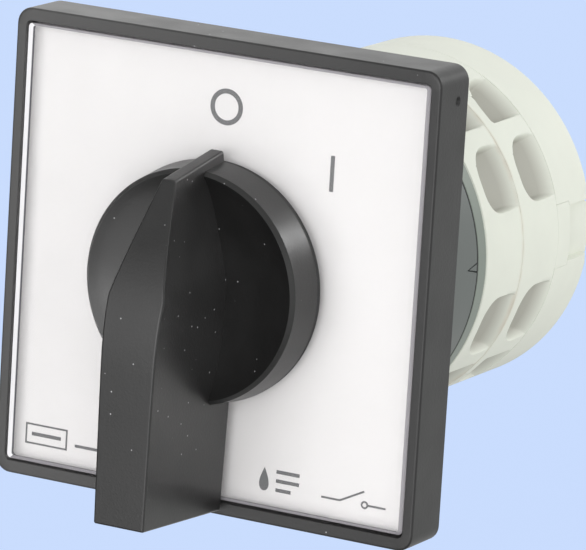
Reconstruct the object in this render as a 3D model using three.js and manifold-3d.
// Rotary isolator switch for panel mounting: two positions, O and I, and two contact stages.
// Millimetres, +Z up, the front faces -Y. The origin is where the switch axis (the Y axis)
// meets the back face of the front plate, which is the front face of the panel.
import * as THREE from 'three';
import { mergeVertices } from 'three/addons/utils/BufferGeometryUtils.js';
import Module from 'manifold-3d';

const wasm = await Module();
wasm.setup();

// ---------------------------------------------------------------- driving dimensions

const gap = 0.3;                       // clearance between neighbouring pieces
const degree = Math.PI / 180;

const plateSide = 64;                  // front plate
const plateDepth = 8;
const plateCorner = 2.2;
const plateRise = 0.4;                 // the plate's centre is this far above the switch axis
const windowWidth = 61.1;              // opening inside the rim
const windowHeight = 60.5;
const pocketFloor = -5.4;              // y of the floor behind the legend plate
const webBack = -1.9;                  // y of the back of the plate's web
const legendThickness = 0.6;
const coverThickness = 1.2;
const coverFront = -7.8;
const mountSpacing = 28;               // square of four M4 screws
const mountHole = 2.15;                // radius that clears an M4 screw
const screwSeat = 4.2;                 // radius of the seat for its head
const maxPanel = 4.5;                  // room for the panel between plate and latch housing

const discRadius = 16.3;               // handle
const discBack = -8.3;
const discFront = -14.4;
const discFrontRadius = 15.75;         // the side narrows to this, then a chamfer follows
const hubRadius = 7;
const sealSeat = 9.2;                  // radius of the seal's seat behind the plate
const dishFloor = -11.2;
const leverHalf = 3.75;                // half width of the lever at its bottom
const leverFront = -29.4;
const leverBack = -8.7;
const leverBottom = -30.7;
const pointerRoot = [4.15, 0.8];       // half width and z where the lever starts to taper
const pointerTip = [0.8, 15.5];
const pointerTop = 17.7;

const bodyRadius = 24.4;               // everything behind the panel
const collarRadius = 10.9;             // fits a 22.5 mm panel hole
const latchBack = 21.7;
const latchCoverBack = 23.8;
const stagePitch = 10.8;
const stageLength = 10.5;
const stageFronts = [24.1, 34.9];
const rearFront = 45.7;
const rearBack = 55.8;

const tongueHalf = 11.5;               // half angle of a tongue's seat at 3 and 9 o'clock
const tongueEnd = 51;
const seatDepth = 1.6;
const notchHalf = 8.5;                 // shallow notch behind each tongue
const notchDepth = 1;

const shaftSide = 6;
const shaftFront = -12.2;
const shaftBack = 50.6;
const tieBoltX = 19.2;
const boltHole = 1.95;                 // radius that clears a tie bolt
const boltHead = [51.4, 53.8];
const bodySides = 48;

const switchAngle = 45;                // turn from O to I
const camOpenRadius = 10.2;
const contactTravel = 2.6;
const followerTip = camOpenRadius + 0.35;
const contactGap = 0.15;               // left between closed contacts
const detentTip = 10;                  // radius of the star wheel's lobes

// ---------------------------------------------------------------- materials

function plastic(color, roughness = 0.55) {
  return new THREE.MeshStandardMaterial({ color, roughness, metalness: 0 });
}

function metal(color, roughness = 0.35) {
  return new THREE.MeshStandardMaterial({ color, roughness, metalness: 1 });
}

const blackPlastic = plastic(0x2b2a29, 0.42);
const whitePlastic = plastic(0xf3f1f2, 0.4);
const clearPlastic = plastic(0xe9e9ee, 0.08);
const greyPlastic = plastic(0x6c757a, 0.5);
const palePlastic = plastic(0xd9dcd2, 0.5);
const innerPlastic = plastic(0xb9452f, 0.5);
const ivoryPlastic = plastic(0xe6dcc0, 0.5);
const rubber = plastic(0x1d1d1d, 0.85);
const steel = metal(0xb8bbbd, 0.35);
const springSteel = metal(0x8f9294, 0.3);
const brass = metal(0xc9a24e, 0.35);

// ---------------------------------------------------------------- shape helpers

// A closed solid from any closed three.js geometry.
function solid(geometry) {
  const bare = geometry.index ? geometry.toNonIndexed() : geometry.clone();
  bare.deleteAttribute('normal');
  bare.deleteAttribute('uv');
  const merged = mergeVertices(bare, 1e-4);
  const index = merged.index.array;
  const kept = [];
  for (let i = 0; i < index.length; i += 3) {
    const [a, b, c] = [index[i], index[i + 1], index[i + 2]];
    if (a !== b && b !== c && c !== a) kept.push(a, b, c);
  }
  const position = merged.attributes.position.array;
  if (signedVolume(position, kept) < 0) kept.reverse();
  const mesh = new wasm.Mesh({
    numProp: 3,
    vertProperties: new Float32Array(position),
    triVerts: new Uint32Array(kept),
  });
  return new wasm.Manifold(mesh);
}

function signedVolume(position, index) {
  const corner = (i) => new THREE.Vector3().fromArray(position, 3 * index[i]);
  let volume = 0;
  for (let i = 0; i < index.length; i += 3) {
    volume += corner(i).dot(corner(i + 1).cross(corner(i + 2)));
  }
  return volume;
}

function geometryOf(body) {
  const mesh = body.getMesh();
  const geometry = new THREE.BufferGeometry();
  geometry.setAttribute('position', new THREE.BufferAttribute(mesh.vertProperties, 3));
  geometry.setIndex(new THREE.BufferAttribute(mesh.triVerts, 1));
  geometry.computeVertexNormals();
  return geometry;
}

// A prism along Y of an outline drawn in X and Z, as seen from the front.
function prism(outline, front, back, curveSegments = 5) {
  const geometry = new THREE.ExtrudeGeometry(outline, {
    depth: back - front, bevelEnabled: false, curveSegments,
  });
  geometry.rotateX(Math.PI / 2);
  geometry.translate(0, back, 0);
  return solid(geometry);
}

// A prism along X of an outline drawn in Y and Z.
function sidePrism(outline, halfWidth) {
  const geometry = new THREE.ExtrudeGeometry(outline, {
    depth: 2 * halfWidth, bevelEnabled: false, curveSegments: 8,
  });
  geometry.rotateY(Math.PI / 2);
  geometry.rotateX(Math.PI / 2);
  geometry.translate(-halfWidth, 0, 0);
  return solid(geometry);
}

function block(x0, x1, y0, y1, z0, z1) {
  const geometry = new THREE.BoxGeometry(x1 - x0, y1 - y0, z1 - z0);
  geometry.translate((x0 + x1) / 2, (y0 + y1) / 2, (z0 + z1) / 2);
  return solid(geometry);
}

// A round bar along Y.
function bar(radius, front, back, x = 0, z = 0, sides = 20) {
  const geometry = new THREE.CylinderGeometry(radius, radius, back - front, sides);
  geometry.translate(x, (front + back) / 2, z);
  return solid(geometry);
}

// A body of revolution about the Y axis, from [radius, y] pairs.
function turned(profile, sides = 32) {
  const points = profile.map(([radius, y]) => new THREE.Vector2(radius, y));
  return solid(new THREE.LatheGeometry(points, sides));
}

// An upright rectangle with rounded corners, centred on the axis in X.
function roundedRectangle(width, height, radius) {
  const [x, z] = [width / 2, height / 2];
  const shape = new THREE.Shape();
  shape.moveTo(-x + radius, -z);
  shape.lineTo(x - radius, -z);
  shape.absarc(x - radius, -z + radius, radius, -Math.PI / 2, 0, false);
  shape.lineTo(x, z - radius);
  shape.absarc(x - radius, z - radius, radius, 0, Math.PI / 2, false);
  shape.lineTo(-x + radius, z);
  shape.absarc(-x + radius, z - radius, radius, Math.PI / 2, Math.PI, false);
  shape.lineTo(-x, -z + radius);
  shape.absarc(-x + radius, -z + radius, radius, Math.PI, 1.5 * Math.PI, false);
  return shape;
}

function polygon(points) {
  return new THREE.Shape(points.map(([x, z]) => new THREE.Vector2(x, z)));
}

// Part of a flat ring, between two angles in radians.
function sector(inner, outer, from, to) {
  const shape = new THREE.Shape();
  shape.absarc(0, 0, outer, from, to, false);
  shape.absarc(0, 0, inner, to, from, true);
  return shape;
}

// Mirrors a solid across X where sx is -1, and across Z where sz is -1.
function mirrored(body, sx, sz) {
  return body.scale([sx, 1, sz]);
}

// Turns a solid about the Y axis, clockwise as seen from the front.
function turn(body, angle) {
  return body.rotate([0, angle, 0]);
}

// A compression spring along +Z, centred on (0, y), from z0 to z1.
function coil(y, z0, z1, coilRadius, wireRadius, turns) {
  class Helix extends THREE.Curve {
    getPoint(t, target = new THREE.Vector3()) {
      const angle = 2 * Math.PI * turns * t;
      const z = z0 + wireRadius + (z1 - z0 - 2 * wireRadius) * t;
      return target.set(coilRadius * Math.cos(angle), y + coilRadius * Math.sin(angle), z);
    }
  }
  const wire = new THREE.Shape();
  wire.absarc(0, 0, wireRadius, 0, 2 * Math.PI, false);
  const geometry = new THREE.ExtrudeGeometry(wire, {
    steps: Math.round(turns * 9), extrudePath: new Helix(), curveSegments: 3,
  });
  return solid(geometry);
}

// ---------------------------------------------------------------- assembly helpers

const isolator = new THREE.Group();
isolator.name = 'rotary_isolator_switch';

function add(name, body, material) {
  const mesh = new THREE.Mesh(geometryOf(body), material);
  mesh.name = name;
  isolator.add(mesh);
}

const corners = [[1, 1], [-1, 1], [-1, -1], [1, -1]];
const mountPlaces = corners.map(([sx, sz]) => [sx * mountSpacing / 2, sz * mountSpacing / 2]);

// ---------------------------------------------------------------- front plate

const hubBore = hubRadius + 0.4;
const sheetBore = hubRadius + 0.6;     // hole in the legend plate and the clear cover
const sheetWidth = windowWidth - 2 * gap;
const sheetHeight = windowHeight - 2 * gap;
const gasketRecess = 60;               // side of the square recess behind the plate
const sealFront = -3.6;
const screwHead = [-5.2, -3.2];        // y of a mounting screw's head
const screwEnd = 12.2;

// A flat piece of the front plate, with rounded corners and centred on the plate.
function panel(width, height, radius, front, back) {
  return prism(roundedRectangle(width, height, radius), front, back).translate([0, 0, plateRise]);
}

function escutcheonFrame() {
  let body = panel(plateSide, plateSide, plateCorner, -plateDepth, 0);
  body = body.subtract(panel(windowWidth, windowHeight, 0.8, -plateDepth - 1, pocketFloor));
  body = body.subtract(panel(gasketRecess, gasketRecess, 1, webBack, 1));
  body = body.subtract(bar(hubBore, -plateDepth, 1, 0, 0, 32));
  body = body.subtract(bar(sealSeat, sealFront, 1, 0, 0, 32));
  for (const [x, z] of mountPlaces) {
    body = body.subtract(bar(mountHole, -plateDepth, 1, x, z, 12));
    body = body.subtract(bar(screwSeat, -plateDepth, screwHead[1] + gap, x, z, 16));
  }
  return body;
}

function legendPlate() {
  const back = pocketFloor - gap;
  const plate = panel(sheetWidth, sheetHeight, 0.6, back - legendThickness, back);
  return plate.subtract(bar(sheetBore, -plateDepth, 0, 0, 0, 32));
}

function clearCover() {
  const plate = panel(sheetWidth, sheetHeight, 0.6, coverFront, coverFront + coverThickness);
  return plate.subtract(bar(sheetBore, -plateDepth - 1, 0, 0, 0, 32));
}

function panelGasket() {
  const side = gasketRecess - 2 * gap;
  let sheet = panel(side, side, 0.8, webBack + gap, 0);
  sheet = sheet.subtract(bar(collarRadius + 0.6, -3, 1, 0, 0, 32));
  for (const [x, z] of mountPlaces) {
    sheet = sheet.subtract(bar(mountHole + 0.25, -3, 1, x, z, 12));
  }
  return sheet;
}

function mountingScrew(x, z) {
  const head = bar(3.8, ...screwHead, x, z, 16);
  const shank = bar(1.8, screwHead[1] - 0.1, screwEnd, x, z, 10);
  const slot = block(x - 5, x + 5, screwHead[0] - 1, screwHead[0] + 0.9, z - 0.5, z + 0.5);
  return head.add(shank).subtract(slot);
}

function shaftSeal() {
  const wire = 0.72;
  const ring = new THREE.TorusGeometry((hubRadius + sealSeat) / 2, wire, 6, 28);
  ring.rotateX(Math.PI / 2);
  ring.translate(0, sealFront + wire + 0.13, 0);
  return solid(ring);
}

add('escutcheon_frame', escutcheonFrame(), blackPlastic);
add('legend_plate', legendPlate(), whitePlastic);
add('clear_cover', clearCover(), clearPlastic);
add('panel_gasket', panelGasket(), rubber);
mountPlaces.forEach(([x, z], i) => {
  add(`mounting_screw_${i + 1}`, mountingScrew(x, z), steel);
});
add('shaft_seal', shaftSeal(), rubber);

// ---------------------------------------------------------------- handle and shaft

const hubBack = -0.6;
const clipSpan = [-4, -2];             // y of the clip that holds the handle on the shaft

// Side outline of the lever in Y and Z: flat front, falling back to the pointer at the top.
function leverOutline() {
  const shape = new THREE.Shape();
  shape.moveTo(leverBack, leverBottom);
  shape.lineTo(leverFront, leverBottom + 1.1);
  shape.lineTo(leverFront, -5);
  shape.quadraticCurveTo(leverFront, 0.5, leverFront + 2.6, 4.4);
  shape.lineTo(-21.2, pointerTip[1]);
  shape.lineTo(leverBack, pointerTop);
  shape.closePath();
  return shape;
}

// Front outline of the lever in X and Z: nearly parallel sides, tapering to the pointer.
function leverPlan() {
  const right = [
    [leverHalf, leverBottom - 1], pointerRoot, pointerTip, [pointerTip[0], pointerTop + 1],
  ];
  const left = right.map(([x, z]) => [-x, z]).reverse();
  return polygon([...right, ...left]);
}

function handle() {
  const disc = turned([
    [0, discBack], [discRadius, discBack], [discRadius, discBack - 0.6],
    [discFrontRadius, discFront + 0.55], [discFrontRadius - 0.55, discFront],
    [14.4, -13.2], [12.4, -12.1], [9.5, dishFloor], [0, dishFloor],
  ], 48);
  const lever = sidePrism(leverOutline(), 2 * leverHalf).intersect(prism(leverPlan(), -40, 0));
  const hub = bar(hubRadius, discBack - 1, hubBack, 0, 0, 32);
  const half = shaftSide / 2 + gap;
  const socket = block(-half, half, shaftFront - gap, 0, -half, half);
  const clipSeat = block(-half - 1, half + 1, clipSpan[0] - gap, clipSpan[1] + gap, -half, half + 1);
  return disc.add(lever).add(hub).subtract(socket).subtract(clipSeat);
}

// A U-shaped leaf that grips the flats of the shaft inside the handle's hub.
function handleClip() {
  const inner = shaftSide / 2 + gap;
  const outer = inner + 0.7;
  return prism(polygon([
    [-outer, -2.8], [-inner, -2.8], [-inner, inner], [inner, inner],
    [inner, -2.8], [outer, -2.8], [outer, outer], [-outer, outer],
  ]), ...clipSpan);
}

function shaft() {
  const half = shaftSide / 2;
  return block(-half, half, shaftFront, shaftBack, -half, half);
}

add('handle', handle(), blackPlastic);
add('handle_clip', handleClip(), springSteel);
add('shaft', shaft(), steel);

// ---------------------------------------------------------------- latch

const latchFloor = maxPanel + 2.3;
const latchCavity = bodyRadius - 1.9;  // radius inside the wall
const screwPost = 4;
const shaftBore = 5;
const detentY = 10.2;                  // middle of the detent mechanism
const plungerInner = detentTip + gap;
const plungerOuter = 15.4;
const latchSpringEnd = 22;
const stopY = [15.2, 17.2];
const postBack = 14;                   // y where the screw posts and plunger guides end
const bossRadius = 3.6;                // bosses that take the tie bolts
const bossX = 20.2;
const lugHalf = 12;                    // half the angle of a stop lug
const journalRadius = 8.2;

function latchHousing() {
  let body = bar(bodyRadius, maxPanel, latchBack, 0, 0, bodySides);
  body = body.add(bar(collarRadius, 0.4, maxPanel + 1, 0, 0, 40));
  let cavity = bar(latchCavity, latchFloor, latchBack + 1, 0, 0, 48);
  for (const [x, z] of mountPlaces) {
    cavity = cavity.subtract(bar(screwPost, latchFloor - 1, postBack, x, z, 16));
  }
  for (const side of [-1, 1]) {
    cavity = cavity.subtract(bar(bossRadius, latchFloor - 1, latchBack + 2, side * bossX, 0, 16));
    const [z0, z1] = side > 0 ? [11, 23] : [-23, -11];
    for (const x of [-4.1, 4.1]) {
      cavity = cavity.subtract(block(x - 0.8, x + 0.8, latchFloor - 1, postBack, z0, z1));
    }
  }
  body = body.subtract(cavity);
  body = body.subtract(bar(journalRadius + 0.4, 1.2, latchFloor + 1, 0, 0, 32));
  body = body.subtract(bar(shaftBore, 0, 2, 0, 0, 24));
  for (const [x, z] of mountPlaces) {
    body = body.subtract(bar(mountHole, 0, 13, x, z, 12));
  }
  for (const side of [-1, 1]) {
    body = body.subtract(bar(boltHole, 11, latchBack + 1, side * tieBoltX, 0, 12));
  }
  return body;
}

function latchCover() {
  let body = bar(bodyRadius, latchBack + gap, latchCoverBack, 0, 0, bodySides);
  body = body.subtract(bar(shaftBore, latchBack, latchCoverBack + 1, 0, 0, 24));
  for (const side of [-1, 1]) {
    body = body.subtract(bar(boltHole, latchBack, latchCoverBack + 1, side * tieBoltX, 0, 12));
  }
  return body;
}

function squareHole(front, back) {
  const half = shaftSide / 2 + gap;
  return block(-half, half, front - 1, back + 1, -half, half);
}

// Eight lobes, one every 45 degrees, with valleys where the plungers rest.
function starWheel() {
  const lobes = 8;
  const outline = new THREE.Shape();
  const steps = 48;
  for (let i = 0; i <= steps; i++) {
    const angle = 2 * Math.PI * i / steps;
    const radius = detentTip - 0.9 * (1 + Math.cos(lobes * (angle - Math.PI / 2))) / 2;
    const [x, z] = [radius * Math.cos(angle), radius * Math.sin(angle)];
    if (i === 0) outline.moveTo(x, z);
    else outline.lineTo(x, z);
  }
  const wheel = prism(outline, detentY - 2.2, detentY + 2.2);
  const journal = bar(journalRadius, 1.6, detentY, 0, 0, 28);
  return wheel.add(journal).subtract(squareHole(1.6, detentY + 2.2));
}

// A plunger with a rounded nose towards the wheel and a post for its spring.
function detentPlunger() {
  const nose = new THREE.Shape();
  nose.moveTo(-2.9, plungerOuter);
  nose.lineTo(-2.9, plungerInner + 2.4);
  nose.quadraticCurveTo(-1.6, plungerInner, 0, plungerInner);
  nose.quadraticCurveTo(1.6, plungerInner, 2.9, plungerInner + 2.4);
  nose.lineTo(2.9, plungerOuter);
  const slider = prism(nose, detentY - 2.4, detentY + 2.4);
  const post = block(-0.9, 0.9, detentY - 0.9, detentY + 0.9, plungerOuter - 1, 17.4);
  return slider.add(post);
}

function detentSpring() {
  return coil(detentY, plungerOuter + 0.2, latchSpringEnd, 1.9, 0.36, 4.5);
}

// Fixed plate whose window lets the stop washer turn through the switching angle only.
function stopRing() {
  let plate = bar(latchCavity - 0.5, stopY[0], stopY[1], 0, 0, 48);
  plate = plate.subtract(bar(9, stopY[0] - 1, stopY[1] + 1, 0, 0, 32));
  const spare = 1.5;
  for (const start of [0, 180]) {
    const from = (start + lugHalf + spare) * degree;
    const to = (start - switchAngle - lugHalf - spare) * degree;
    plate = plate.subtract(prism(sector(6, 13, to, from), stopY[0] - 1, stopY[1] + 1));
  }
  for (const side of [-1, 1]) {
    plate = plate.subtract(bar(bossRadius + 0.35, stopY[0] - 1, stopY[1] + 1, side * bossX, 0, 16));
    plate = plate.subtract(block(side * 22, side * 26, stopY[0] - 1, stopY[1] + 1, -4, 4));
  }
  return plate;
}

function stopWasher() {
  let washer = bar(8.4, stopY[0], stopY[1], 0, 0, 28);
  for (const start of [0, 180]) {
    const from = (start - lugHalf) * degree;
    const to = (start + lugHalf) * degree;
    washer = washer.add(prism(sector(7, 12.4, from, to), stopY[0], stopY[1]));
  }
  return washer.subtract(squareHole(...stopY));
}

add('latch_housing', latchHousing(), greyPlastic);
add('latch_cover', latchCover(), greyPlastic);
add('star_wheel', starWheel(), ivoryPlastic);
add('stop_ring', stopRing(), steel);
add('stop_washer', stopWasher(), steel);
for (const [side, angle] of [['upper', 0], ['lower', 180]]) {
  add(`detent_plunger_${side}`, turn(detentPlunger(), angle), ivoryPlastic);
  add(`detent_spring_${side}`, turn(detentSpring(), angle), springSteel);
}

// ---------------------------------------------------------------- contact stages

const stageFloor = 1.2;
const stageBore = 6.7;                 // radius of the hole for the cam's hub
const camRoom = 11.6;                  // radius of the round chamber for the cam
const camSpan = [2.6, 7.6];            // from the front of its stage
const followerSpan = [3, 7.2];
const shoulder = 13.9;                 // z of the follower's shoulder with contacts open
const bridgeBottom = shoulder + gap;
const bridgeTop = bridgeBottom + 0.9;
const bridgeHalf = 9.2;
const tipX = 7.6;
const tipHeight = 0.7;
const stageSpringEnd = 22.5;
const fixedTipTop = bridgeBottom - tipHeight - contactTravel - contactGap;
const terminalAngle = 27;              // of a terminal screw from 3 o'clock
const terminalRadius = 14.56;
const screwY = 3.8;
const scoopDepth = 3.8;
const scoopStart = 1.8;
const scoopHalf = 11;                  // half the angle a scoop covers
const scoopAngles = [27, 54, 126, 153, -27, -54, -126, -153];
const slotEnd = 5.4;
const bays = [[13.4, 4, 13.2], [9.6, 13, 16.6], [3.2, 16, 22.7]];  // half width, z from, z to

// Radius of a cam at an angle in its own frame. It falls steadily over the switching angle.
function camRadius(angle) {
  const a = ((angle - 90) % 180 + 180) % 180;
  const low = camOpenRadius - contactTravel;
  if (a <= switchAngle) return camOpenRadius - contactTravel * a / switchAngle;
  if (a <= 90) return low;
  if (a <= 135) return low + contactTravel * (a - 90) / 45;
  return camOpenRadius;
}

function stageCam(front) {
  const outline = [];
  for (let angle = 0; angle < 360; angle += 7.5) {
    const radius = camRadius(angle);
    outline.push([radius * Math.cos(angle * degree), radius * Math.sin(angle * degree)]);
  }
  const lobe = prism(polygon(outline), front + camSpan[0], front + camSpan[1]);
  const hub = bar(stageBore - 0.4, front + 0.4, front + stagePitch - 0.7, 0, 0, 24);
  return lobe.add(hub).subtract(squareHole(front, front + stagePitch));
}

// A wedge cut into the side: a square wall in front, and a floor that rises to the rear.
function scoop(front, angle) {
  const start = front + scoopStart;
  const back = front + stageLength;
  const half = bodyRadius * Math.sin(scoopHalf * degree);
  const floorFront = bodyRadius - scoopDepth;
  const wedge = new THREE.Shape();
  wedge.moveTo(start, floorFront);
  wedge.lineTo(back, bodyRadius - 0.15);
  wedge.lineTo(back, bodyRadius + 2);
  wedge.lineTo(start, bodyRadius + 2);
  wedge.closePath();
  return turn(sidePrism(wedge, half), 90 - angle);
}

// Opening through the floor of a scoop, for a wire or for a screwdriver.
function slot(front, angle, inner, shift) {
  const half = 2.6;
  const [start, end] = [front + scoopStart, front + slotEnd];
  return turn(block(shift - half, shift + half, start, end, inner, bodyRadius), 90 - angle);
}

function stageHousing(front) {
  const back = front + stageLength;
  let body = bar(bodyRadius, front, back, 0, 0, bodySides);
  const [floor, open] = [front + stageFloor, back + 1];
  let cavity = bar(camRoom, floor, open, 0, 0, 32);
  for (const side of [-1, 1]) {
    const band = (low, high) => side > 0 ? [low, high] : [-high, -low];
    for (const [half, low, high] of bays) {
      cavity = cavity.add(block(-half, half, floor, open, ...band(low, high)));
    }
  }
  for (const angle of scoopAngles) {
    const wiring = Math.abs(Math.abs(angle) - 90) < 45;
    const outward = Math.sin(angle * degree) * Math.cos(angle * degree) > 0 ? 1 : -1;
    body = body.subtract(scoop(front, angle));
    if (wiring) {
      cavity = cavity.add(slot(front, angle, 13, 1.6 * outward));
    } else {
      cavity = cavity.add(turn(block(-4.3, 4.3, floor, open, 10, 19), 90 - angle));
      cavity = cavity.add(slot(front, angle, 17, 0));
    }
  }
  body = body.subtract(cavity).subtract(bar(stageBore, front - 1, back, 0, 0, 24));
  for (const side of [-1, 1]) {
    body = body.subtract(bar(boltHole, front - 1, open, side * tieBoltX, 0, 12));
  }
  return body;
}

function contactFollower(front) {
  const outline = new THREE.Shape();
  const half = 2.6;
  outline.moveTo(-half, shoulder);
  outline.lineTo(-half, followerTip + 1.2);
  outline.lineTo(-0.5, followerTip);
  outline.lineTo(0.5, followerTip);
  outline.lineTo(half, followerTip + 1.2);
  outline.lineTo(half, shoulder);
  const stem = prism(outline, front + followerSpan[0], front + followerSpan[1]);
  const middle = front + (followerSpan[0] + followerSpan[1]) / 2;
  return stem.add(block(-1, 1, middle - 1, middle + 1, shoulder - 1, 17.6));
}

function contactBridge(front) {
  const middle = front + (followerSpan[0] + followerSpan[1]) / 2;
  let body = block(-bridgeHalf, bridgeHalf, middle - 2.3, middle + 2.3, bridgeBottom, bridgeTop);
  for (const x of [-tipX, tipX]) {
    body = body.add(block(x - 1.4, x + 1.4, middle - 1.6, middle + 1.6,
      bridgeBottom - tipHeight, bridgeBottom + 0.1));
  }
  const hole = block(-1.3, 1.3, middle - 1.3, middle + 1.3, bridgeBottom - 1, bridgeTop + 1);
  return body.subtract(hole);
}

function contactSpring(front) {
  const middle = front + (followerSpan[0] + followerSpan[1]) / 2;
  return coil(middle, bridgeTop + 0.2, stageSpringEnd, 2, 0.34, 4.5);
}

// A brass strip: its tip under the bridge, its other end under the terminal screw.
function fixedContact(front) {
  const top = fixedTipTop - 0.6;
  const strip = prism(polygon([
    [6, top - 1], [10.95, top - 1], [14.1, 3.2], [15, 3.65], [11.6, top], [6, top],
  ]), front + 2.4, front + 7.4);
  const tip = block(tipX - 1.4, tipX + 1.4, front + 3.5, front + 6.7, top - 0.1, fixedTipTop);
  const hole = terminalBar(2, 10, 18, front, 12);
  return strip.add(tip).subtract(hole);
}

// A bar along the terminal screw's axis, between two distances from the switch axis.
function terminalBar(radius, inner, outer, front, sides) {
  const geometry = new THREE.CylinderGeometry(radius, radius, outer - inner, sides);
  geometry.rotateX(Math.PI / 2);
  geometry.translate(0, front + screwY, (inner + outer) / 2);
  geometry.rotateY((90 - terminalAngle) * degree);
  return solid(geometry);
}

function terminalScrew(front) {
  const shank = terminalBar(1.65, 12.2, 17, front, 10);
  const head = terminalBar(2.3, 15.8, 18.2, front, 14);
  const slotCut = block(-3, 3, front + screwY - 0.4, front + screwY + 0.4, 17.3, 19);
  return shank.add(head).subtract(turn(slotCut, 90 - terminalAngle));
}

// Tongues at 3 and 9 o'clock that lock the last stage into the rear cover.
function tongue(side) {
  const half = (tongueHalf - 0.8) * degree;
  const outline = sector(bodyRadius - seatDepth + gap, bodyRadius, -half, half);
  return turn(prism(outline, rearFront - 0.8, tongueEnd - gap), side > 0 ? 0 : 180);
}

const sideTurns = [['upper', 0], ['lower', 180]];
stageFronts.forEach((front, i) => {
  const stage = `stage_${i + 1}`;
  const last = i === stageFronts.length - 1;
  const housing = stageHousing(front);
  add(`${stage}_housing`, last ? housing.add(tongue(-1)).add(tongue(1)) : housing, palePlastic);
  add(`${stage}_cam`, stageCam(front), innerPlastic);
  for (const [side, angle] of sideTurns) {
    add(`${stage}_follower_${side}`, turn(contactFollower(front), angle), ivoryPlastic);
    add(`${stage}_bridge_${side}`, turn(contactBridge(front), angle), brass);
    add(`${stage}_spring_${side}`, turn(contactSpring(front), angle), springSteel);
  }
  corners.forEach(([sx, sz], j) => {
    const placed = (body) => mirrored(body, sx, sz);
    add(`${stage}_contact_${j + 1}`, placed(fixedContact(front)), brass);
    add(`${stage}_screw_${j + 1}`, placed(terminalScrew(front)), steel);
  });
});

// ---------------------------------------------------------------- rear cover and tie bolts

const rearCavity = bodyRadius - 4;
const rearWall = rearBack - 2.6;       // y of the inner face of the back wall

function rearCover() {
  let body = bar(bodyRadius, rearFront, rearBack, 0, 0, bodySides);
  body = body.subtract(bar(rearCavity, rearFront - 1, rearWall, 0, 0, 48));
  body = body.add(bar(7, rearFront + 0.4, rearBack - 2, 0, 0, 28));
  for (const side of [-1, 1]) {
    body = body.add(bar(4.2, rearFront, rearBack - 2, side * tieBoltX, 0, 16));
    body = body.intersect(bar(bodyRadius, rearFront, rearBack, 0, 0, bodySides));
  }
  body = body.subtract(bar(4.6, rearFront - 1, rearWall, 0, 0, 24));
  for (const side of [-1, 1]) {
    body = body.subtract(bar(boltHole, rearFront - 1, rearBack, side * tieBoltX, 0, 12));
    body = body.subtract(bar(3.1, boltHead[0] - gap, rearBack + 1, side * tieBoltX, 0, 16));
    const inner = bodyRadius - notchDepth;
    const [notchTurn, seatTurn] = [notchHalf * degree, tongueHalf * degree];
    const notch = sector(inner, bodyRadius + 1, -notchTurn, notchTurn);
    const seat = sector(bodyRadius - seatDepth, bodyRadius + 1, -seatTurn, seatTurn);
    const placed = (part) => turn(part, side > 0 ? 0 : 180);
    body = body.subtract(placed(prism(notch, tongueEnd, rearBack + 1)));
    body = body.subtract(placed(prism(seat, rearFront - 1, tongueEnd)));
  }
  return body;
}

function tieBolt(side) {
  const x = side * tieBoltX;
  const [front, back] = boltHead;
  const shank = bar(1.6, 12, front + 0.5, x, 0, 10);
  const head = bar(2.7, front, back, x, 0, 12);
  return shank.add(head).subtract(block(x - 4, x + 4, back - 0.9, back + 1, -0.5, 0.5));
}

add('rear_cover', rearCover(), palePlastic);
add('tie_bolt_left', tieBolt(-1), steel);
add('tie_bolt_right', tieBolt(1), steel);

export default isolator;
